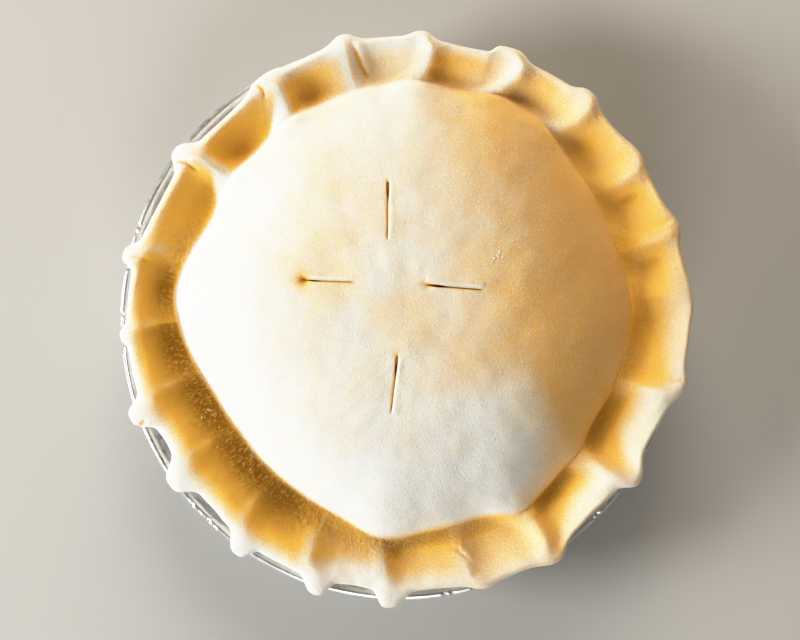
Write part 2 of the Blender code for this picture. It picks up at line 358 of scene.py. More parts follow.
# Where the dome meets the groove: direction in degrees and radius.
FOOT_OUTLINE = [
    (0, 90), (20, 87.8), (40, 90), (50, 92.2), (56, 95.4), (62, 97), (67, 97), (72, 94.8), (77, 93.6),
    (82, 94.4), (88, 95.8), (95, 94.4), (112, 92.6), (122, 92.6), (131, 90), (142, 90.2), (153, 87.2),
    (174, 93.4), (186, 88.2), (201, 81.6), (215, 79.8), (238, 80.6), (252, 83), (262, 88), (267, 87.6),
    (275, 84.8), (290, 83.8), (301, 89), (313, 86.2), (319, 85), (323, 86.4), (330, 84), (345, 86.8),
]
LIP_DIP = 0.7


def ring_curve(points, blur):
    """A smooth closed curve through (angle, value) points: a table of straight runs, blurred."""
    angles = np.arange(0.0, 360.0, 0.5)
    table = np.interp(angles, [p[0] for p in points], [p[1] for p in points], period=360.0)
    offsets = np.arange(-3 * blur, 3 * blur + 0.5, 0.5)
    weights = bell(offsets, blur)
    rolled = [np.roll(table, int(round(2 * offset))) * weight for offset, weight in zip(offsets, weights)]
    table = sum(rolled) / weights.sum()
    return lambda angle: np.interp(angle, angles, table, period=360.0)


foot_radius = ring_curve(FOOT_OUTLINE, 3.5)
hollow_radius = ring_curve(HOLLOWS, 4.0)


def turn_from(start, angle):
    """The signed angle from start to angle, in degrees."""
    return (angle - start + 180.0) % 360.0 - 180.0


# A lobe is mostly its own squared bell and partly a softer one, this much wider in degrees.
LOBE_SHARE, SKIRT_SHARE, SKIRT = 0.85, 0.15, 4.0


def edge_radius(angle):
    """The outline of the edge: a rounded lobe at each pinch, over the line of the hollows."""
    base = hollow_radius(angle)
    stand = np.zeros_like(angle)
    for pinch in PINCHES:
        away = turn_from(pinch.tip, angle)
        wide = np.where(away < 0, pinch.before, pinch.after)
        square = np.where(away < 0, min(pinch.square, 3.0), pinch.square)
        lobe = LOBE_SHARE * np.exp(-np.abs(away / wide) ** square) + SKIRT_SHARE * bell(away, wide + SKIRT)
        stand = np.maximum(stand, (pinch.reach - hollow_radius(np.array(pinch.tip))) * lobe)
    return base + stand


# Where the lip was pressed outwards and thin: 1 there, 0 where it was left thick and its lobes are flaps.
THIN_LIP = ring_curve([
    (0, 1), (60, 1), (92, .5), (122, 0), (258, 0), (288, .6), (305, 1),
], 4)
# How far the crest follows the lobes where the lip is thick, and how much more where it is thin; and how much
# further out a thin lip's crest lies.
FOLLOW, FOLLOW_THIN, OUT_THIN = 0.15, 0.60, 0.065


def crest_radius(angle):
    """The line of the crest: it follows the hollows where the lip is thick, the lobes where it is thin."""
    foot, hollow, thin = foot_radius(angle), hollow_radius(angle), THIN_LIP(angle)
    edge = hollow + (FOLLOW + FOLLOW_THIN * thin) * (edge_radius(angle) - hollow)
    return foot + ((CREST - FOOT) / (EDGE - FOOT) + OUT_THIN * thin) * (edge - foot)


def bowed(start, middle, end, way):
    """A value that passes smoothly through three others at way 0, 0.5 and 1."""
    return start + (4 * middle - 3 * start - end) * way + (2 * end + 2 * start - 4 * middle) * way ** 2


def ridge_line(pinch, out):
    """The direction of a ridge, from the dome's foot at 0 to the crest at 1 and on to the tip."""
    line = bowed(pinch.foot, pinch.middle, pinch.crest, np.clip(out, -0.3, 1.0))
    return line + (pinch.tip - pinch.crest) * ease((out - 0.85) / 0.3)


def ridge_height(pinch, out):
    """The height of a ridge over the hollows beside it."""
    height = bowed(pinch.rise_foot, pinch.rise_middle, pinch.rise_crest, np.clip(out, 0.0, 1.0))
    height = height + (pinch.rise_tip - pinch.rise_crest) * ease((out - 1.0) / 0.16)
    return np.where(out < 0, pinch.rise_foot * bell(out, 0.26), height)


def steep_side(pinch):
    """-1 if the ridge drops more steeply on the side before it, 1 if on the side after it."""
    return -1 if pinch.tip < STEEP_BEFORE else 1


# The half width of a ridge on its steep side and on the other, in mm. It is twice as wide at the dome's foot.
STEEP_WIDE, SLACK_WIDE = 4.1, 5.0


def ridges(angle, out, reach):
    """How far the pinched ridges stand up; out is 0 at the foot and 1 at the crest."""
    total = np.zeros_like(angle)
    for pinch in PINCHES:
        away = np.radians(turn_from(ridge_line(pinch, out), angle)) * reach
        steep = away * steep_side(pinch) > 0
        wide = np.where(steep, STEEP_WIDE, SLACK_WIDE) * (1.0 + (1.0 - ease((out + 0.1) / 0.5)))
        wide = wide + np.where(steep, 1.6, 0.0) * ease((out - 0.7) / 0.3)
        total = np.maximum(total, ridge_height(pinch, out) * np.exp(-((np.abs(away) / wide) ** 2.1)))
    return total


def between(pinch, after, angle, out):
    """How far a place lies from one ridge, at 0, to the next, at 1."""
    start, end = ridge_line(pinch, out), ridge_line(after, out)
    return np.clip(((angle - start) % 360.0) / ((end - start) % 360.0), 0.0, 1.0)


NEIGHBOURS = list(zip(PINCHES, PINCHES[1:] + PINCHES[:1]))


def scoops(angle, out):
    """How deep the thumb pressed: deepest by the steep side, and a little over the crest too."""
    total = np.zeros_like(angle)
    for pinch, after in NEIGHBOURS:
        share = between(pinch, after, angle, out)
        share = share ** 1.5 if steep_side(after) < 0 else 1.0 - (1.0 - share) ** 1.5
        across = 0.5 - 0.5 * np.cos(2 * math.pi * share)
        hollow = pinch.hollow * np.sin(math.pi * np.clip(out, 0, 1)) ** 0.8 + LIP_DIP * ease(out)
        total = np.maximum(total, hollow * across ** 0.7)
    return total


# %% [markdown]
# ## Moulding the crust
# Now the points of the turned crust are moved. Out of the middle they are stretched so that the dome meets
# its uneven foot and the edge its scalloped outline; then ridges and hollows are added to their heights. What
# lies in the tin stays as it was turned.

# %% Mould the dough
STILL = 40.0  # nearer to the middle than this, in mm, the lid stays as it was turned


def places_of(piece):
    """A mesh's points as an array, in millimetres."""
    flat = np.empty(len(piece.data.vertices) * 3)
    piece.data.vertices.foreach_get("co", flat)
    return flat.reshape(-1, 3) / MM


def put_back(piece, places):
    """Give a mesh its moved points, in millimetres."""
    piece.data.vertices.foreach_set("co", (places * MM).ravel())
    piece.data.update()


def polar(x, y):
    """A place's radius, and its direction in degrees."""
    return np.hypot(x, y), np.degrees(np.arctan2(y, x)) % 360.0


def mould(places):
    """The turned crust's points, moved to the shape that the hands gave it."""
    x, y, z = places.T
    radius, angle = polar(x, y)
    foot, crest, edge = foot_radius(angle), crest_radius(angle), edge_radius(angle)
    out = (radius - FOOT) / (CREST - FOOT)
    pull = ease((radius - STILL) / (FOOT - STILL))
    on_band = foot + out * (crest - foot)
    on_lobe = crest + (radius - CREST) / (EDGE - CREST) * (edge - crest)
    reach = np.where(radius < FOOT, radius + pull * (foot - FOOT), np.where(radius < CREST, on_band, on_lobe))
    share = np.clip((z - RIM_LEVEL) / (CREST_LEVEL - RIM_LEVEL), 0.0, 1.0)
    share = np.where(radius < CREST, 1.0, share)
    level = z + (ridges(angle, out, reach) - scoops(angle, out)) * share
    turn = np.radians(angle)
    moved = np.stack((LID_CENTRE[0] + reach * np.cos(turn), LID_CENTRE[1] + reach * np.sin(turn), level), 1)
    under = (z < RIM_LEVEL + 0.01) & (radius < EDGE - TUCK - 0.5)
    edge_from_axis = edge + LID_CENTRE[0] * np.cos(turn) + LID_CENTRE[1] * np.sin(turn)
    drawn = WALL_TOP + (radius - WALL_TOP) / (EDGE - WALL_TOP) * (edge_from_axis - WALL_TOP)
    drawn = np.where(radius < WALL_TOP + 0.01, radius, drawn)
    flat = np.stack((drawn * np.cos(turn), drawn * np.sin(turn), z), 1)
    return np.where(under[:, None], flat, moved)


put_back(dough, mould(places_of(dough)))
print("moulded:", triangles(dough), "triangles")

# %% [markdown]
# ## Creases
# Where a finger drew the dough over itself it left a sharp little fold. Each is a line on the edge: points
# close to it are doubled first, then pressed down along the line, with a small roll raised beside it.

# %% Press the creases in
# Each crease: its points as (direction in degrees, radius), its half width and depth, the height and half
# width of the roll beside it, the roll's side (1 where directions grow), and how bare of flour the crease is,
# which also paints it gold as shade in the fold.
CREASES = [
    (((101.4, 111), (100.9, 107.5), (100.4, 102.5), (99.4, 98.6), (97.2, 96.2)), 1.2, .8, .5, 2, -1, .9),
    (((122.6, 110.4), (122.1, 107), (122.6, 103.6)), .9, .9, 0, 1, -1, .9),
    (((145.4, 110.2), (144.6, 106.4), (144.3, 101.6)), .8, .9, 0, 1, -1, .9),
    (((201.6, 113.6), (201.1, 110.6)), .8, .9, 0, 1, 1, .9),
    (((284.6, 98), (283.4, 95.2), (282.3, 92.8)), .8, .5, .35, 1.3, 1, .25),
    (((285.8, 104.4), (285.5, 101.2), (285.2, 98.4)), 2.6, .2, .1, .9, -1, .6),
    (((303.4, 111), (303.4, 106.5), (304.4, 101)), 2.2, 0, 0, 1, 1, .55),
    (((20.9, 111.6), (20.6, 109), (21, 104)), .9, .4, .2, 1, -1, .35),
    (((85.4, 113), (84.9, 110.2)), .6, .6, .2, 1, 1, .3),
    (((167.4, 112), (166.8, 108.4), (167, 104)), .7, .4, .2, 1, -1, .5),
    (((347.6, 111), (347, 107)), .8, .3, .2, 1, -1, .4),
]
CREASE_ROOM = 2.6  # points nearer to a crease than this, in mm, are doubled


def crease_points(crease):
    """A crease's points as places on the crust, in millimetres."""
    turns, radii = np.array(crease[0]).T
    turns = np.radians(turns)
    return np.stack((radii * np.cos(turns), radii * np.sin(turns)), 1) + LID_CENTRE


def from_crease(crease, flat):
    """Each place's signed distance from a crease, and how far along it is, from 0 to 1."""
    line = crease_points(crease)
    best, side, along = np.full(len(flat), 1e9), np.zeros(len(flat)), np.zeros(len(flat))
    lengths = np.hypot(*np.diff(line, axis=0).T)
    gone = 0.0
    for start, end, length in zip(line, line[1:], lengths):
        way = (end - start) / length
        share = np.clip((flat - start) @ way, 0.0, length)
        gap = flat - (start + share[:, None] * way)
        distance = np.hypot(*gap.T)
        cross = way[0] * gap[:, 1] - way[1] * gap[:, 0]
        nearer = distance < best
        best = np.where(nearer, distance, best)
        side = np.where(nearer, np.where(cross > 0, -1.0, 1.0), side)
        along = np.where(nearer, (gone + share) / lengths.sum(), along)
        gone += length
    return best * side, along


def near_a_crease(place):
    """Whether a point on top of the edge lies close to a crease."""
    if place.z < (RIM_LEVEL + 2.0) * MM:
        return False
    flat = np.array([(place.x / MM, place.y / MM)])
    turn = polar(*(flat[0] - LID_CENTRE))[1]
    for crease in CREASES:
        if crease[2] > 0 and abs(turn_from(crease[0][0][0], turn)) < 9:
            if abs(from_crease(crease, flat)[0][0]) < CREASE_ROOM:
                return True
    return False


refine(dough, near_a_crease, 1, "beside the creases")
places = places_of(dough)
for crease in CREASES:
    _, half, depth, roll, roll_half, roll_side, _ = crease
    gap, along = from_crease(crease, places[:, :2])
    taper = ease(np.sin(math.pi * np.clip(0.08 + 0.84 * along, 0, 1)) * 1.6)
    beside = gap - roll_side * (half + 0.7 * roll_half)
    press = depth * bell(gap, half) - roll * bell(beside, roll_half)
    open_air = ease((places[:, 2] - RIM_LEVEL - 1.5) / 1.5)
    places[:, 2] -= press * taper * open_air
put_back(dough, places)
print("creased:", triangles(dough), "triangles")

# %% [markdown]
# ## Lumps under the lid
# The lid isn't a clean curve: lumps of filling show through it and fingers flatten it here and there.
# Displace modifiers with soft cloud textures do that best, one for broad lumps and a finer one for the
# handled surface, held to the open top by a vertex group.

# %% Displace the open top
WEIGHT_STEPS = 20


def weigh(piece, name, weights):
    """A vertex group from an array of weights, in steps of a twentieth."""
    group = piece.vertex_groups.new(name=name)
    steps = np.round(np.clip(weights, 0.0, 1.0) * WEIGHT_STEPS).astype(int)
    for step in range(1, WEIGHT_STEPS + 1):
        chosen = np.nonzero(steps == step)[0]
        if len(chosen):
            group.add(chosen.tolist(), step / WEIGHT_STEPS, "REPLACE")


def lid_polar(places):
    """Radius and direction about the lid's centre, and how far a place is from the foot to the crest."""
    radius, angle = polar(*(places[:, :2] - LID_CENTRE).T)
    foot, crest = foot_radius(angle), crest_radius(angle)
    return radius, angle, (radius - foot) / (crest - foot)


# Where the thumb tore the skin of the dough into little flakes, along the dome's foot.
FLAKES = ring_curve([
    (0, .15), (12, .5), (30, .2), (50, .1), (140, .1), (147, .6), (154, .3), (162, 1), (170, .9), (178, .5),
    (188, .9), (200, 1), (222, 1), (235, .6), (246, .9), (256, .5), (264, 1), (269, .5), (275, .2),
    (285, .15), (328, .4), (345, .2),
], 2)
FLAKE_LINE = 0.22  # how far out they lie, as a share of the way from the foot to the crest
places = places_of(dough)
radius, angle, in_band = lid_polar(places)
open_top = ease((places[:, 2] - RIM_LEVEL - 0.8) / 2.0)
weigh(dough, "open_top", open_top)
weigh(dough, "flaky", open_top * FLAKES(angle) * bell(in_band - FLAKE_LINE, 0.26))
# Each kind of lump: its name, its size and its height in metres, which way it pushes, and where.
LUMPS = [
    ("lumps", 0.022, 0.0016, "Z", "open_top"),
    ("handled", 0.006, 0.0005, "Z", "open_top"),
    ("flakes", 0.0014, 0.0012, "NORMAL", "flaky"),
]
for name, size, height, way, where in LUMPS:
    texture = bpy.data.textures.new(name, "CLOUDS")
    texture.noise_scale = size
    apply_modifier(dough, "DISPLACE", texture=texture, texture_coords="LOCAL", strength=height, mid_level=0.5,
                   direction=way, vertex_group=where)

# %% [markdown]
# ## Cutting the slits
# A knife pushed down into soft dough drags its skin in: the surface dips to the cut on both sides, and on the
# side that the blade leaned over the lip stands up in a soft roll. The cut gapes where the point went in and
# closes to a line where it came out. First the lips are pressed and raised, then thin blades are cut out with
# one Boolean.

# %% Press and raise the lips of the slits


def beside_the_cut(slit, places):
    """For each place: distance along and across a slit, distance past its ends, and how far along it is."""
    along, across, length = along_and_across(slit, places)
    beyond = np.maximum(np.maximum(-along, along - length), 0.0)
    return along, across, beyond, np.clip(along / length, 0.0, 1.0)


# The lid's broad dent beside a slit that was pushed hard, and how far from the cut the roll's crest lies, in
# mm.
DENT = 0.7
ROLL_AT = 1.05
places = places_of(dough)
on_top = places[:, 2] > GROOVE_LEVEL + 10
for slit in SLITS:
    along, across, beyond, share = beside_the_cut(slit, places)
    near_start, ends = bell(share, 0.35), bell(beyond, 0.7)
    leaned = (0.45 + 0.35 * near_start) * np.exp(-np.maximum(across, 0) / slit.lip)
    other = (0.25 + 0.25 * near_start) * np.exp(-np.maximum(-across, 0) / 0.45)
    outer = np.where(across > ROLL_AT, 1.7, 0.65)
    roll = (1.6 - 0.6 * share) * slit.roll * bell(across - ROLL_AT, outer)
    pushed = slit.pushed * bell(np.hypot(along + 0.4, across), 2.2)
    pushed += DENT * slit.pushed ** 2 * bell(np.hypot(along - 9.0, across - 2.0), 8.5)
    places[:, 2] -= np.where(on_top, (np.where(across > 0, leaned, other) - roll) * ends + pushed, 0.0)
put_back(dough, places)

# %% The blades
# How deep a cut is along its length, how much deeper where the point plunged in, and how far it bows, in mm.
SKIM_DEPTH = 0.45
PLUNGE = 3.4
BOW = 0.16
LIP_PRESSED = 0.7  # how far the lips have been pressed down already


def blade(slit):
    """A thin wedge the shape of one cut: wide and deep near its start, a shallow line to its end."""
    start, end = np.array(slit.start), np.array(slit.end)
    piece = new_piece("blade", bpy.ops.mesh.primitive_cube_add, size=1.0)
    bpy.ops.object.mode_set(mode="EDIT")
    bpy.ops.mesh.select_mode(type="EDGE")
    bpy.ops.mesh.select_all(action="DESELECT")
    shape = bmesh.from_edit_mesh(piece.data)
    for edge in shape.edges:
        edge.select = abs(edge.verts[0].co.x - edge.verts[1].co.x) > 0.5
    bmesh.update_edit_mesh(piece.data)
    bpy.ops.mesh.subdivide(number_cuts=30)
    close_up()
    flat = places_of(piece) * MM
    share = flat[:, 0] + 0.5
    half = slit.narrow + (slit.wide - slit.narrow) * bell(share - slit.at, slit.reach)
    half *= np.clip((1.0 - share) / 0.10, 0.12, 1.0) ** 0.5
    half *= np.clip((share + 0.01) / 0.05, 0.25, 1.0) ** 0.5
    low = flat[:, 2] < 0
    way = (end - start) / math.dist(start, end)
    bow = BOW * np.sin(math.pi * share) * (-1 if slit.roll > 0.3 else 1)
    across = np.sign(flat[:, 1]) * half * np.where(low, 0.4, 1.25) + bow
    place = start + share[:, None] * (end - start) + across[:, None] * np.array((-way[1], way[0]))
    surface = GROOVE_LEVEL + dome(np.hypot(*(place - LID_CENTRE).T) / FOOT)
    depth = LIP_PRESSED + SKIM_DEPTH + DENT * slit.pushed ** 2 + PLUNGE * bell(share - 0.25, 0.11)
    put_back(piece, np.stack((place[:, 0], place[:, 1], np.where(low, surface - depth, surface + 1.5)), 1))
    over_all(piece, bpy.ops.mesh.normals_make_consistent, inside=False)
    return piece


# %% Cut them out
# Each blade carries the material of the inside of a cut, and the Boolean hands it to the faces that it makes.
dough_look = bpy.data.materials.new("raw_dough")
cut_look = bpy.data.materials.new("shaded_cut_dough")
dough.data.materials.append(dough_look)
blades = [blade(slit) for slit in SLITS]
take(blades[0])
for piece in blades:
    piece.select_set(True)
bpy.ops.object.join()
blades[0].data.materials.append(cut_look)
apply_modifier(dough, "BOOLEAN", operation="DIFFERENCE", solver="MANIFOLD", object=blades[0],
               material_mode="TRANSFER")
bpy.data.objects.remove(blades[0], do_unlink=True)
inside = sum(face.material_index == 1 for face in dough.data.polygons)
print("slit:", triangles(dough), "triangles,", inside, "faces inside the slits")

# %% [markdown]
# ## Where the flour lies, and the painted light and shade
# The lid was rolled out on a floured board, and the thumb takes the dust out of the hollows. The dust is
# painted thick over the lit left and the bottom of the dome and thin on the shaded right, so it paints light
# and shade as well; the lips and ridge tops are painted white as highlights, and the groove, the hollows, the
# creases and the slits' shaded sides are painted gold and dark as shade. That belongs to places on this crust
# and not to a pattern, so it is painted on the points as two soft masks that the material reads.

# %% Paint the flour, the wiped hollows and the painted shade


def paint(piece, name, values):
    """Store a mask on a mesh's points."""
    layer = piece.data.attributes.new(name, "FLOAT", "POINT")
    layer.data.foreach_set("value", np.clip(values, 0.0, 1.0).astype(np.float32))
    print(f"{name}: from {values.min():.2f} to {values.max():.2f}, mean {values.mean():.2f}")


# Round the edge: the flour left where no thumb wiped it, and how much of it stays on the ridges. Both also
# paint
# highlights: the lips white where they catch the light, and the lit side of each ridge.
EDGE_FLOUR_AND_HIGHLIGHT = ring_curve([
    (0, .5), (20, .36), (40, .36), (52, .58), (65, .84), (90, .9), (120, .97), (255, .95), (270, .84),
    (285, .72), (303, .52), (316, .7), (345, .78),
], 4)
RIDGE_FLOUR_AND_HIGHLIGHT = ring_curve([
    (0, .15), (6, .15), (18, .8), (33, .85), (50, .95), (90, 1), (143, 1), (157, .6), (165, .28), (181, .2),
    (195, .18), (212, .26), (230, .2), (247, .6), (265, .75), (284, .5), (302, .72), (323, .9), (344, .7),
], 3)
# How much of that flour, with its painted highlight, stays on a ridge down to the dome's foot.
RIDGE_FOOT_FLOUR_AND_HIGHLIGHT = ring_curve([
    (0, 0), (35, .1), (50, .6), (65, 1), (150, 1), (160, 0), (255, 0), (265, .5), (284, .2), (300, .6),
    (323, .8), (344, .3),
], 3)
# How dark the groove is painted at the dome's foot: painted shade where the lip and the dome shadow it.
FOOT_SHADE = ring_curve([
    (0, .75), (4, .5), (12, .3), (20, .4), (30, .2), (45, .3), (55, 0), (170, 0), (235, .3), (250, .6),
    (262, .65), (270, 1), (285, 1), (292, 1), (297, .7), (301, .1), (305, .85), (315, .9), (321, .5),
    (326, .9), (335, 1), (341, .85), (346, .75), (352, .75),
], 1.5)
# How deep a gold the wiped dough is painted: partly its own bare colour, partly painted shade, deep where the
# hollows lie in shade and only a pinkish cream where they are lit.
GOLD_AND_SHADE = ring_curve([
    (0, .95), (20, .9), (35, .6), (48, .25), (62, .5), (75, .75), (90, .6), (98, .9), (240, 1), (252, .4),
    (262, 0), (270, .15), (285, .1), (300, 0), (306, .6), (325, .7), (345, .9),
], 3)
Wipe = namedtuple("Wipe", "bare start_reach end_reach fade_start fade_end cut damp at wide out deep")
# The bare patch in the hollow after each pinch: how bare; how far out from the dome's foot it reaches beside
# the first ridge and beside the next; over what share of the hollow it fades from each ridge, and how far
# flour cuts its corner at the foot; how dark the painted shade at its darkest place is, where that is across
# the hollow, how wide, where outwards, and how far it spreads outwards.
WIPES = [Wipe(*sizes) for sizes in (
    (.85, .72, .85, .3, .08, 0, .48, .63, .17, .55, .42),
    (.8, .98, .94, .25, .12, 0, .6, .72, .16, .55, .42),
    (.84, .9, 1, .3, .1, 0, .48, .66, .22, .45, .4),
    (.72, .8, 1, .7, .07, .3, .3, .6, .22, .6, .34),
    (.84, .8, .95, .75, .07, .3, .34, .74, .24, .52, .42),
    (.45, .75, .8, .5, .15, .2, .25, .72, .18, .35, .25),
    (.9, .86, .92, .5, .09, .1, .5, .78, .26, .18, .36),
    (1, .96, 1.02, .36, .12, .6, .28, .7, .25, .5, .45),
    (.97, 1.05, 1.02, .14, .14, .4, .28, .5, .6, .25, .4),
    (1, 1.04, 1, .16, .14, 0, .9, .52, .4, .3, .38),
    (1, 1, 1, .14, .14, 0, 1.1, .4, .7, .25, .42),
    (1, 1, .96, .14, .14, 0, 1.15, .5, .8, .17, .44),
    (1, 1, 1, .14, .14, 0, 1.1, .6, .9, .17, .44),
    (1, 1, .98, .14, .22, 0, 1.02, .32, .62, .18, .46),
    (.8, .98, .66, .07, .35, 0, .42, .12, .2, .55, .38),
    (.8, .86, .84, .07, .2, 0, .6, .15, .3, .3, .36),
    (.62, .92, .84, .12, .4, .1, .34, .3, .5, .04, .22),
    (.9, .98, .6, .16, .3, 0, .6, .28, .3, .2, .35),
    (.88, .94, .54, .16, .25, 0, .5, .28, .4, .2, .28),
    (.86, .84, .66, .16, .25, 0, .5, .8, .25, .2, .3),
)]


# How soft the outer border of a bare patch is; and how dark the painted shade in the groove along the dome's
# foot is, how far out its bottom lies and how wide it is, as shares of the way to the crest.
BORDER_SOFT = 0.42
GROOVE_SHADE, GROOVE_AT, GROOVE_WIDE = 0.94, 0.10, 0.34


def wiped(angle, out):
    """How far the thumb wiped a place of the edge bare, and how much painted shade it gets there."""
    bare, damp = np.zeros_like(angle), np.zeros_like(angle)
    for (pinch, after), wipe in zip(NEIGHBOURS, WIPES):
        share = between(pinch, after, angle, out)
        here = (share > 0) & (share < 1)
        near = ease(share / (0.35 * wipe.fade_start))
        plateau = 0.45 * near + 0.55 * ease(share / wipe.fade_start)
        plateau = plateau * ease((1.0 - share) / wipe.fade_end)
        # The flour kept on a ridge stops at its steep side: a painted highlight on the lit side.
        ridge_flour_and_highlight = RIDGE_FLOUR_AND_HIGHLIGHT(angle) * np.maximum(ease((out - 0.25) / 0.45), RIDGE_FOOT_FLOUR_AND_HIGHLIGHT(angle))
        corner = 0.18 * np.abs(2.0 * share - 1.0) ** 5 * RIDGE_FLOUR_AND_HIGHLIGHT(angle)
        fall = 1.3 + 1.5 * max(0.0, wipe.start_reach - wipe.end_reach)
        reach = wipe.start_reach + (wipe.end_reach - wipe.start_reach) * ease(share * fall) - corner
        cut = wipe.cut * (1.0 - ease(share / 0.40))
        ring = ease((reach - out) / BORDER_SOFT + 0.5) * ease((out + 0.06 - cut) / (0.16 + 0.5 * cut) + 0.4)
        patch = wipe.bare * (1.0 - ridge_flour_and_highlight * (1.0 - plateau)) * ring
        # The darkest place in each hollow is painted shade.
        spot = wipe.damp * bell(share - wipe.at, wipe.wide) * bell(out - wipe.out, wipe.deep)
        spot = spot * (1.0 - ridge_flour_and_highlight * (1.0 - plateau ** 0.5))
        # Beside the steep side of the next ridge the dough is painted bare and gold: painted shade on that
        # shaded side.
        rub_and_shade = 0.40 * bell(1.0 - share, 0.16) * (after.rise_crest > 0.5) * (pinch.tip < STEEP_BEFORE)
        patch = np.maximum(np.maximum(patch, 0.92 * ease(spot * 1.6)), rub_and_shade * ease((1.25 - out) / 0.3))
        bare, damp = np.where(here, patch, bare), np.where(here, spot, damp)
    # Along the dome's foot the groove is painted bare and dark: painted shade.
    groove = GROOVE_SHADE * FOOT_SHADE(angle) * bell(out - GROOVE_AT, GROOVE_WIDE)
    return np.maximum(bare, 0.72 * ease(groove * 1.3)), np.maximum(damp, groove)


# Spots where the dust on the lid is thicker or thinner, which also paint light and shade: thinner and golden
# beside the left slit's start and on the shaded right shoulder. By how much, where right and up of the lid's
# middle, how large, and how wide the spot's edge is, in mm.
LID_FLOUR_AND_SHADE_SPOTS = [
    (-.08, 12, 61, 22, 34), (-.24, 0, 1, 12, 16), (.14, -4, 85, 12, 20), (-.26, 65, -28, 10, 22),
    (.14, 34, 55, 22, 34), (.12, 46, 36, 16, 28), (.54, 40, -44, 20, 28), (.16, 34, -68, 14, 24),
    (-.36, -34, 18, 10, 32), (-.22, 19, -15, 12, 22), (-.14, -23, 40, 15, 32), (.1, 80, -22, 12, 24),
]
places = places_of(dough)
x, y = (places[:, :2] - LID_CENTRE).T
radius, angle, in_band = lid_polar(places)
# Thick dust on the left and the bottom, thin on the right: partly the dust, partly painted light and shade,
# whiter towards the lit left and golden towards the shaded right.
lid_flour_and_light = 0.86 - 0.82 * ease((0.98 * x + 0.17 * y - 5.6) / 50.0)
lid_flour_and_light += 0.20 * ease((-y - 36.0) / 34.0) + 0.14 * ease((-x - 38.0) / 34.0)
for more, right, up, size, soft in LID_FLOUR_AND_SHADE_SPOTS:
    lid_flour_and_light += more * (1.0 - ease((np.hypot(x - right, y - up) - size + soft / 2) / soft))

bare, damp = wiped(angle, in_band)
for crease in CREASES:
    gap, along = from_crease(crease, places[:, :2])
    # Bare, and so gold, along each crease: painted shade in the fold.
    opened_and_shaded = crease[6] * bell(gap, crease[1]) * ease(4 * along) * ease(4 - 4 * along)
    bare = np.maximum(bare, opened_and_shaded)
# Where the groove has painted shade, the edge's colours reach further in over the dome's foot.
blend = ease((in_band + 0.09 + 0.10 * FOOT_SHADE(angle)) / 0.22)

# Round each slit: where the blade took the flour off, with painted shade, gold and dark, on the cut's shaded
# side and round its pushed start; and the dusty roll, which is also painted white as a highlight.
scraped_and_shaded, slit_shade, dust_and_highlight = np.zeros((3, len(places)))
for slit in SLITS:
    along, across, beyond, share = beside_the_cut(slit, places)
    # The cut's shaded side, its pushed start and the place where the blade went in are painted bare and dark:
    # painted shade.
    lip = 0.8 * bell(across + 0.35, 0.40) * bell(beyond, 0.6)
    pit = slit.pushed * bell(np.hypot(along + 0.6, across * 1.1), 1.2 + 1.8 * slit.pushed)
    notch = 0.9 * bell(along - 0.5, 1.3) * bell(across - 0.1, 0.75)
    scraped_and_shaded = np.maximum(scraped_and_shaded, np.maximum(np.maximum(lip, pit), notch))
    slit_shade = np.maximum(slit_shade, (0.6 + 0.28 * slit.pushed) * scraped_and_shaded)
    dust_and_highlight = np.maximum(dust_and_highlight, 0.95 * bell(across - 1.1, 1.1) * bell(beyond, 1.5))

lid_flour_and_light = np.maximum(lid_flour_and_light, dust_and_highlight) * (1.0 - 0.95 * scraped_and_shaded)
gold = 0.5 * GOLD_AND_SHADE(angle)
# The flour mask also paints light: whiter on the lit left of the lid, the lips, the lit side of the ridges
# and the slits' rolls.
paint(dough, "flour", lid_flour_and_light * (1.0 - blend) + EDGE_FLOUR_AND_HIGHLIGHT(angle) * (1.0 - bare) * blend)
# The second mask: the wiped dough's gold, and painted shade in the hollows, the groove, the creases and
# beside the slits.
paint(dough, "hollow", np.maximum(bare * blend * (gold + (1.0 - gold) * damp), slit_shade))
paint(dough, "crumb", FLAKES(angle) * bell(in_band - FLAKE_LINE, 0.28))
# For the torn flakes: a vector that runs round the edge, so that their noise is drawn out along it.
turned = np.stack((np.radians(angle) * 90.0, radius * 0.60, places[:, 2]), 1) * MM
layer = dough.data.attributes.new("round_the_edge", "FLOAT_VECTOR", "POINT")
layer.data.foreach_set("vector", turned.astype(np.float32).ravel())

# %% [markdown]
# ## The look of raw dough
# Raw shortcrust is a matt, slightly see-through golden cream. Flour turns it white, and the shade in the
# hollows and the groove is painted into it as gold and ochre. The dough's own colour and the flour's are
# mixed by the painted mask, which a fine noise breaks up into specks, so that the edge of the dust is grainy
# and never a soft airbrushed line.

# %% Material helpers
# How fine each pattern is, in waves per metre.
DUST_CLOUDS, FLOUR_GRAINS, TORN_FLAKES, CUT_GRAINS, CLOTS = 70, 1400, 880, 1800, 400
FOIL_CREASES, FOIL_RUBS = 110, 480
# Colours as red, green, blue and solid.
BARE_DOUGH = (0.91, 0.61, 0.25, 1)
# The pressed gold and the dark ochre also paint shade: the second mask lays them where the hollows and the
# groove lie in shade.
PRESSED_DOUGH = (0.97, 0.60, 0.135, 1)
SHADED_DAMP_DOUGH = (0.41, 0.210, 0.005, 1)
DRY_FLAKE = (0.88, 0.56, 0.22, 1)
SHADED_CUT_DOUGH = (0.62, 0.43, 0.11, 1)
FLOUR_WHITE = (0.90, 0.88, 0.83, 1)


# Nodes are set out in columns of this many, in the order they are made in, each with this much room.
NODE_ROWS, NODE_ROOM = 4, (220, 300)


def fill(tree, node, inputs):
    """Give a node's inputs what they need: sockets are linked, numbers and colours are set."""
    for name, value in inputs.items():
        if isinstance(value, bpy.types.NodeSocket):
            tree.links.new(value, node.inputs[name])
        else:
            node.inputs[name].default_value = value


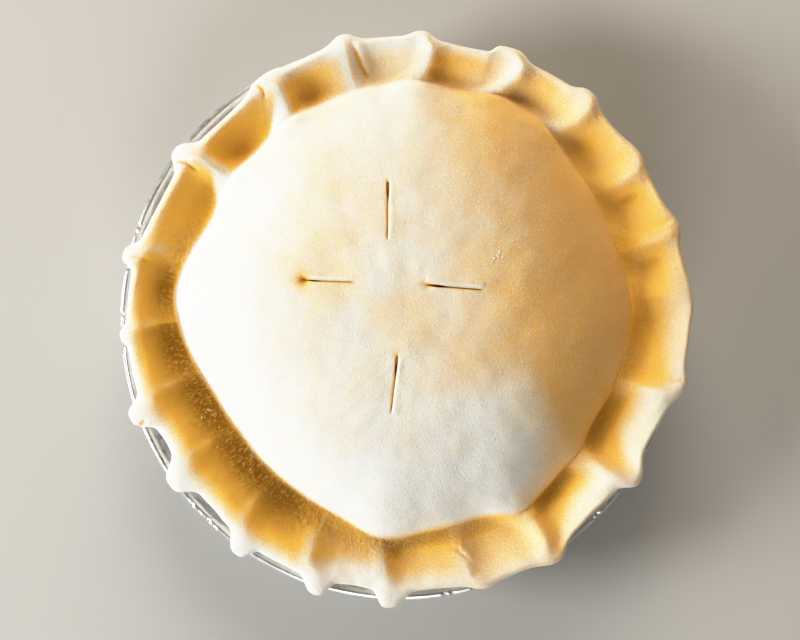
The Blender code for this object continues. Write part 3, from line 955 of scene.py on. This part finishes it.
def add_node(tree, kind, inputs, **settings):
    """A node of a kind in the next free place, with its inputs filled and its plain settings."""
    column, row = divmod(len(tree.nodes), NODE_ROWS)
    node = tree.nodes.new(kind)
    node.location = (NODE_ROOM[0] * column, -NODE_ROOM[1] * row)
    for key, value in settings.items():
        setattr(node, key, value)
    fill(tree, node, inputs)
    return node


def math_node(tree, operation, one, two, clamp=False):
    """Two sockets or numbers, added or multiplied."""
    settings = {"operation": operation, "use_clamp": clamp}
    return add_node(tree, "ShaderNodeMath", {0: one, 1: two}, **settings).outputs[0]


def noise_at(tree, where, scale, detail, rough=0.5):
    """A noise texture in a vector's space; scale is waves per metre."""
    inputs = {"Vector": where, "Scale": scale, "Detail": detail, "Roughness": rough}
    return add_node(tree, "ShaderNodeTexNoise", inputs).outputs["Fac"]


def remap(tree, value, low, high, new_low=0.0, new_high=1.0):
    """A value taken from one range to another."""
    inputs = {"Value": value, "From Min": low, "From Max": high, "To Min": new_low, "To Max": new_high}
    return add_node(tree, "ShaderNodeMapRange", inputs).outputs["Result"]


def blend_colour(tree, amount, one, two):
    """Two colours, sockets or values, mixed by an amount; the node's own sockets go by number."""
    inputs = {0: amount, 6: one, 7: two}
    return add_node(tree, "ShaderNodeMix", inputs, data_type="RGBA").outputs[2]


def bump_from(tree, height, strength, distance):
    """A height made into a normal; distance is in metres."""
    inputs = {"Height": height, "Strength": strength, "Distance": distance}
    return add_node(tree, "ShaderNodeBump", inputs).outputs["Normal"]


def open_look(look):
    """A material's node tree, its shader, and Object coordinates for its patterns."""
    look.use_nodes = True
    tree = look.node_tree
    where = add_node(tree, "ShaderNodeTexCoord", {}).outputs["Object"]
    return tree, tree.nodes["Principled BSDF"], where


# %% The grain of flour and dough
# Flour, dough and cut dough all share one grain, at their own scales, so it is a group.
grain_group = bpy.data.node_groups.new("flour_grain", "ShaderNodeTree")
for name, kind in (("Vector", "NodeSocketVector"), ("Scale", "NodeSocketFloat")):
    grain_group.interface.new_socket(name, in_out="INPUT", socket_type=kind)
for name in ("Fine", "Specks", "Height"):
    grain_group.interface.new_socket(name, in_out="OUTPUT", socket_type="NodeSocketFloat")
entry = add_node(grain_group, "NodeGroupInput", {}).outputs
coarse = math_node(grain_group, "MULTIPLY", entry["Scale"], 0.85)
fine = noise_at(grain_group, entry["Vector"], entry["Scale"], 3, 0.62)
clots = noise_at(grain_group, entry["Vector"], coarse, 2)
specks = remap(grain_group, clots, 0.575, 0.67)
raised = math_node(grain_group, "MULTIPLY", specks, 0.5)
add_node(grain_group, "NodeGroupOutput", {
    "Fine": remap(grain_group, fine, 0.3, 0.7),
    "Specks": specks,
    "Height": math_node(grain_group, "ADD", fine, raised),
})


def flour_grain(tree, where, scale):
    """The shared grain, placed in a material at its own scale, in waves per metre."""
    node = add_node(tree, "ShaderNodeGroup", {}, node_tree=grain_group)
    fill(tree, node, {"Vector": where, "Scale": scale})
    return node.outputs


# %% The dough's material
tree, shader, where = open_look(dough_look)


def painted(name, output="Fac"):
    """One of the masks that were painted on the dough."""
    return add_node(tree, "ShaderNodeAttribute", {}, attribute_name=name).outputs[output]


flour_mask, gold_and_shade_mask, crumb_mask = painted("flour"), painted("hollow"), painted("crumb")
cloud = noise_at(tree, where, DUST_CLOUDS, 3)
grain = flour_grain(tree, where, FLOUR_GRAINS)
flakes = noise_at(tree, painted("round_the_edge", "Vector"), TORN_FLAKES, 3, 0.6)

# How much flour shows: the mask, clouded and broken up by the fine grain, with specks on top.
clouded = remap(tree, cloud, 0.3, 0.7, -0.10, 0.10)
mottled = math_node(tree, "ADD", flour_mask, clouded)
thick = remap(tree, flour_mask, 0.5, 0.95, 1.0, 0.45)
thin = remap(tree, flour_mask, 0.0, 0.2, 0.4, 1.0)
spread = math_node(tree, "MULTIPLY", thin, thick)
ragged = remap(tree, grain["Fine"], 0, 1, -0.23, 0.23)
ragged = math_node(tree, "MULTIPLY", ragged, spread)
grainy = math_node(tree, "ADD", mottled, ragged)
dry = remap(tree, gold_and_shade_mask, 0.0, 0.4, 0.42, 0.03)
specks = math_node(tree, "MULTIPLY", grain["Specks"], dry)
amount = math_node(tree, "ADD", remap(tree, grainy, 0.09, 1.0), specks, clamp=True)

# The dough under it: bare, or pressed gold and dark ochre by the second mask, which is painted shade as well,
# with the torn flakes along the foot.
light = math_node(tree, "MULTIPLY", remap(tree, flakes, 0.50, 0.60), crumb_mask)
dark = math_node(tree, "MULTIPLY", remap(tree, flakes, 0.50, 0.40), crumb_mask)
to_gold_shade, to_shade = remap(tree, gold_and_shade_mask, 0, 0.5), remap(tree, gold_and_shade_mask, 0.5, 1)
to_dry = math_node(tree, "MULTIPLY", light, 0.55)
to_torn = math_node(tree, "MULTIPLY", dark, 0.30)
colour = BARE_DOUGH
for share, over in ((to_gold_shade, PRESSED_DOUGH), (to_shade, SHADED_DAMP_DOUGH), (to_dry, DRY_FLAKE),
                    (to_torn, SHADED_DAMP_DOUGH), (amount, FLOUR_WHITE)):
    colour = blend_colour(tree, share, colour, over)
curled = math_node(tree, "MULTIPLY", light, 1.5)
height = math_node(tree, "ADD", grain["Height"], curled)
fill(tree, shader, {
    "Base Color": colour,
    "Roughness": remap(tree, amount, 0.0, 1.0, 0.55, 0.9),
    "Normal": bump_from(tree, height, 0.6, 0.00038),
    "Specular IOR Level": 0.28,
    "Subsurface Weight": 0.35,
    "Subsurface Radius": (1.0, 0.6, 0.25),
    "Subsurface Scale": 0.004,
})

# %% The material inside the slits
# The knife opened moist dough, a deeper gold than its floured skin, with a torn grain and some flour in it;
# its colour is painted darker too, as shade down in the narrow cut.
tree, shader, where = open_look(cut_look)
grain = flour_grain(tree, where, CUT_GRAINS)
moist = blend_colour(tree, grain["Fine"], SHADED_CUT_DOUGH, PRESSED_DOUGH)
specks = math_node(tree, "MULTIPLY", grain["Specks"], 0.3)
fill(tree, shader, {
    "Base Color": blend_colour(tree, specks, moist, FLOUR_WHITE),
    "Roughness": remap(tree, grain["Fine"], 0.0, 1.0, 0.45, 0.7),
    "Specular IOR Level": 0.25,
})

take(dough)
bpy.ops.object.shade_smooth_by_angle(angle=math.radians(62))
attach(dough, "root")
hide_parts("pie")

# %% [markdown]
# ## The foil tin
# The tin is pressed from one sheet of thin foil: a flat base, a sloping wall, a flat flange and a rim rolled
# over outwards. Pressing a flat sheet into a round leaves fine pleats down the wall, and the roll is nipped
# all round where the spare foil went. The section of its outer face is spun, the pleats and nips are pushed
# in, and a Solidify modifier gives the foil its thickness.

# %% Spin the tin
FOIL = 0.25
ROLL = 1.4
TIN_EDGE = TIN_RADIUS / MM
TIN_FLANGE = 29.75
BASE_EDGE = 82.5
TIN_STEPS = 900


def foil_section():
    """The tin's outer face, in metres, from the tucked end of the roll to the middle of the base."""
    middle_radius, middle_level = TIN_EDGE - ROLL, ROLL_TOP / MM - ROLL
    points = []
    for turn in np.radians(np.linspace(-165, 128, 22)):
        points.append((middle_radius + ROLL * math.cos(turn), middle_level + ROLL * math.sin(turn)))
    points += [(radius, TIN_FLANGE) for radius in (109.0, 107.6, 106.2, 104.9, 104.2)]
    points += [(103.5, 29.6), (103.1, 29.3), (102.85, 28.8)]
    for drop in np.linspace(0.1, 1.0, 9):
        points.append((102.85 - drop * (102.85 - BASE_EDGE - 1.9), 28.8 - drop * 27.9))
    points += [(83.8, 0.5), (83.1, 0.15), (BASE_EDGE - 0.4, 0.0), (70.0, 0.0), (40.0, 0.0), (0.0, 0.0)]
    return [(radius * MM, level * MM) for radius, level in points]


tin = spin_section("foil_pie_tin", foil_section(), TIN_STEPS)
# Faces are made to agree from the outermost ones inwards. Out there, on the roll, it is the foil's inner face
# that looks out, so the sheet is turned over once, and its thickness then grows inwards.
over_all(tin, bpy.ops.mesh.flip_normals)

# %% Pleat the wall and nip the roll
chance = np.random.default_rng(7)
# Nips in the roll: where, how wide in degrees and how deep in mm. They come in pairs.
PAIRS, PLEATS = 34, 150
first = np.sort(chance.uniform(0, 360, PAIRS))
nip_at = np.concatenate((first, first + chance.uniform(0.9, 1.9, PAIRS)))
nip_wide = chance.uniform(0.22, 0.40, 2 * PAIRS)
nip_deep = chance.uniform(0.35, 0.85, 2 * PAIRS)
pleat_at, pleat_deep = chance.uniform(0, 360, PLEATS), chance.uniform(-0.30, 0.60, PLEATS)
pleat_wide = chance.uniform(0.45, 0.9, PLEATS)
# Where pleats run together they fold no deeper than this, in mm, so the foil stays clear of the pie in it.
PLEAT_LIMIT = 0.5


def folds(angle, at, wide, deep):
    """The sum of many narrow folds round the tin."""
    total = np.zeros_like(angle)
    for centre, half, height in zip(at, wide, deep):
        total += height * bell(turn_from(centre, angle), half)
    return total


places = places_of(tin)
radius, angle = polar(*places[:, :2].T)
on_roll = ease((radius - 109.2) / 0.6)
nips = folds(angle, nip_at, nip_wide, nip_deep) * on_roll
pleats = PLEAT_LIMIT * np.tanh(folds(angle, pleat_at, pleat_wide, pleat_deep) / PLEAT_LIMIT)
on_wall = ease((places[:, 2] - 1.0) / 20.0) * (1.0 - ease((radius - 103.0) / 1.5))
on_flange = ease((radius - 103.5) / 1.5) * (1.0 - on_roll)
wave = 0.10 * np.sin(np.radians(angle * 7 + 40)) + 0.07 * np.sin(np.radians(angle * 13))
inward = nips * (0.4 + 0.6 * (radius > TIN_EDGE - ROLL)) + pleats * on_wall + np.abs(wave) * on_roll
places[:, :2] *= ((radius - inward) / np.maximum(radius, 1e-6))[:, None]
places[:, 2] -= 0.6 * nips + np.abs(pleats) * 0.35 * on_flange
put_back(tin, places)
apply_modifier(tin, "SOLIDIFY", thickness=FOIL * MM, offset=-1.0)
over_all(tin, bpy.ops.mesh.remove_doubles, threshold=DOUBLES / 10)
take(tin)
bpy.ops.object.shade_smooth_by_angle(angle=math.radians(50))
print("tin:", triangles(tin), "triangles")

# %% The foil's material
# Bright aluminium: handling leaves soft creases that break up what it reflects, with duller grey metal
# between the bright, and rubbing leaves it rougher here and there.
RUBBED_FOIL, BRIGHT_FOIL = (0.80, 0.80, 0.79, 1), (0.93, 0.935, 0.94, 1)
foil_look = bpy.data.materials.new("pressed_foil")
tree, shader, where = open_look(foil_look)
creases = noise_at(tree, where, FOIL_CREASES, 3)
rub_and_shade = noise_at(tree, where, FOIL_RUBS, 3)
bright = remap(tree, creases, 0.35, 0.65)
fill(tree, shader, {
    "Base Color": blend_colour(tree, bright, RUBBED_FOIL, BRIGHT_FOIL),
    "Metallic": 1.0,
    "Roughness": remap(tree, rub_and_shade, 0.3, 0.7, 0.36, 0.52),
    "Normal": bump_from(tree, creases, 0.5, 0.0005),
})
tin.data.materials.append(foil_look)
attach(tin, "root")
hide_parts("foil_tin")

# %% [markdown]
# ## Grains of flour
# Seen close, the dust is also grains and small clots that lie on the skin and catch the light. One grain is
# modelled, a squashed ball of twenty faces, and copied hundreds of times at true size. Each copy is dropped
# on the lid by a ray cast from above, so that it rests on the dough as it is.

# %% Drop the grains
grain = new_piece("grain", bpy.ops.mesh.primitive_ico_sphere_add, subdivisions=1, radius=0.5)
grain_points = places_of(grain) * MM
grain_faces = np.array([face.vertices[:] for face in grain.data.polygons])
bpy.data.objects.remove(grain, do_unlink=True)
skin = BVHTree.FromObject(dough, bpy.context.evaluated_depsgraph_get())
# Where the grains lie thicker: the middle of the patch in mm, its half widths, how many, and their smallest
# and largest size in mm.
DRIFTS = [
    ((0, 0), (60, 60), 420, .16, .3),
    ((55, 8), (14, 22), 200, .18, .36),
    ((46, -30), (22, 24), 300, .18, .36),
    ((16, -62), (34, 16), 320, .18, .36),
    ((43, 38), (20, 22), 140, .18, .36),
    ((34.5, 25), (1.5, 1.2), 16, .4, .9),
    ((32.4, 21.6), (1, 1.6), 9, .4, .9),
    ((39.6, 31), (3.5, 1.8), 34, .25, .55),
    ((33, 36), (3, 2), 16, .25, .6),
    ((18, 83.5), (8, 2.5), 26, .4, .85),
    ((35, 70), (7, 4), 24, .35, .8),
    ((-90.5, 31), (3, 4), 26, .3, .65),
    ((-79.5, -42), (3, 5), 14, .3, .7),
]
FLATTENED = 0.40
EDGE_ROOM = 104  # no grain lies further out than this, in mm
all_points, all_faces = [], []
chance = np.random.default_rng(21)
for centre, half, count, small, large in DRIFTS:
    for _ in range(count):
        x, y = chance.normal(centre, half) + LID_CENTRE
        size = small + (large - small) * chance.random() ** 2.2
        stretch, spin = chance.uniform(0.8, 1.6), chance.uniform(0, math.pi)
        if math.hypot(x - LID_CENTRE[0], y - LID_CENTRE[1]) > EDGE_ROOM:
            continue
        hit, normal, _, _ = skin.ray_cast(Vector((x * MM, y * MM, 0.08)), Vector((0, 0, -1)))
        if hit is None or normal.z < 0.3:
            continue
        flat = grain_points * np.array((size * stretch, size, size * FLATTENED))
        turned = np.stack((flat[:, 0] * math.cos(spin) - flat[:, 1] * math.sin(spin),
                           flat[:, 0] * math.sin(spin) + flat[:, 1] * math.cos(spin), flat[:, 2]), 1)
        all_faces.append(grain_faces + len(grain_points) * len(all_points))
        all_points.append(turned * MM + np.array(hit) + 0.00006 * size * np.array(normal))
grains_mesh = bpy.data.meshes.new("flour_grains")
grains_mesh.from_pydata(np.concatenate(all_points).tolist(), [], np.concatenate(all_faces).tolist())
grains = bpy.data.objects.new("flour_grains", grains_mesh)
bpy.context.scene.collection.objects.link(grains)
print("grains:", len(all_points), "of", triangles(grains), "triangles")

# %% The flour's material
CREAM_FLOUR, DRY_FLOUR = (0.86, 0.80, 0.68, 1), (0.95, 0.93, 0.89, 1)
flour_look = bpy.data.materials.new("dry_flour")
tree, shader, where = open_look(flour_look)
clots = flour_grain(tree, where, CLOTS)["Fine"]
fill(tree, shader, {
    "Base Color": blend_colour(tree, clots, CREAM_FLOUR, DRY_FLOUR),
    "Roughness": remap(tree, clots, 0.0, 1.0, 0.85, 0.95),
    "Specular IOR Level": 0.2,
})
take(grains)
bpy.ops.object.shade_smooth()
grains.data.materials.append(flour_look)
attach(grains, "root")

# %% [markdown]
# ## Camera, floor and light
# The pie is seen from straight above, from a little over half a metre. Four large soft lamps stand round it:
# a strong one at the left, where its light grazes the dome, weaker ones above and below, and a faint warm one
# for the rest of the room.

# %% Camera and floor
CAMERA_HEIGHT, LENS = 0.550, 58.4  # metres and millimetres
FLOOR_SIZE = 40
clear()
bpy.ops.object.camera_add(location=(0.0, 0.0, CAMERA_HEIGHT), rotation=(0, 0, 0))
camera = bpy.context.object
camera.data.lens = LENS
camera.data.clip_start = 0.01
bpy.context.scene.camera = camera

bpy.ops.mesh.primitive_plane_add(size=FLOOR_SIZE, location=(0, 0, -0.0005))
floor = bpy.context.object
floor.name = "floor"
floor_look = bpy.data.materials.new("pale_floor")
floor_look.use_nodes = True
floor_look.node_tree.nodes["Principled BSDF"].inputs["Base Color"].default_value = (0.62, 0.60, 0.57, 1)
floor.data.materials.append(floor_look)

# %% Lamps and the air of the room
# Each lamp: its direction and height in degrees, its size in metres, its power in watts and its colour.
LAMPS = [
    ("window", 187, 24, 0.5, 23.2, (0.93, 0.97, 1.0)),
    ("upper_window", 92, 27, 0.8, 14.8, (1.0, 0.95, 0.87)),
    ("lower_window", 266, 28, 0.8, 11.1, (0.95, 0.98, 1.0)),
    ("room", 76, 36, 0.9, 3.9, (1.0, 0.87, 0.70)),
]
LAMP_DISTANCE = 1.5
for name, azimuth, elevation, size, power, colour in LAMPS:
    turn, lift = math.radians(azimuth), math.radians(elevation)
    away = (math.cos(turn) * math.cos(lift), math.sin(turn) * math.cos(lift), math.sin(lift))
    bpy.ops.object.light_add(type="AREA", location=LAMP_DISTANCE * Vector(away))
    lamp = bpy.context.object
    lamp.name = name
    lamp.data.size, lamp.data.energy, lamp.data.color = size, power, colour
    lamp.rotation_euler = (math.pi / 2 - lift, 0, turn + math.pi / 2)
world = bpy.data.worlds.new("room_air")
bpy.context.scene.world = world
world.use_nodes = True
air = world.node_tree.nodes["Background"].inputs
air["Color"].default_value, air["Strength"].default_value = (1.0, 0.88, 0.70, 1), 0.14

# %% A soft shoulder for the bright side
# The middle tones are lifted and the brightest are held back, so that the floured side keeps its shape.
view = bpy.context.scene.view_settings
view.view_transform = "Standard"
view.gamma = 0.72
view.use_curve_mapping = True
view.curve_mapping.white_level = (2.0, 2.0, 2.0)
curve = view.curve_mapping.curves[3]
for place in ((0.20, 0.40), (0.35, 0.70), (0.45, 0.87), (0.53, 0.95), (0.66, 0.99)):
    curve.points.new(*place)
view.curve_mapping.update()
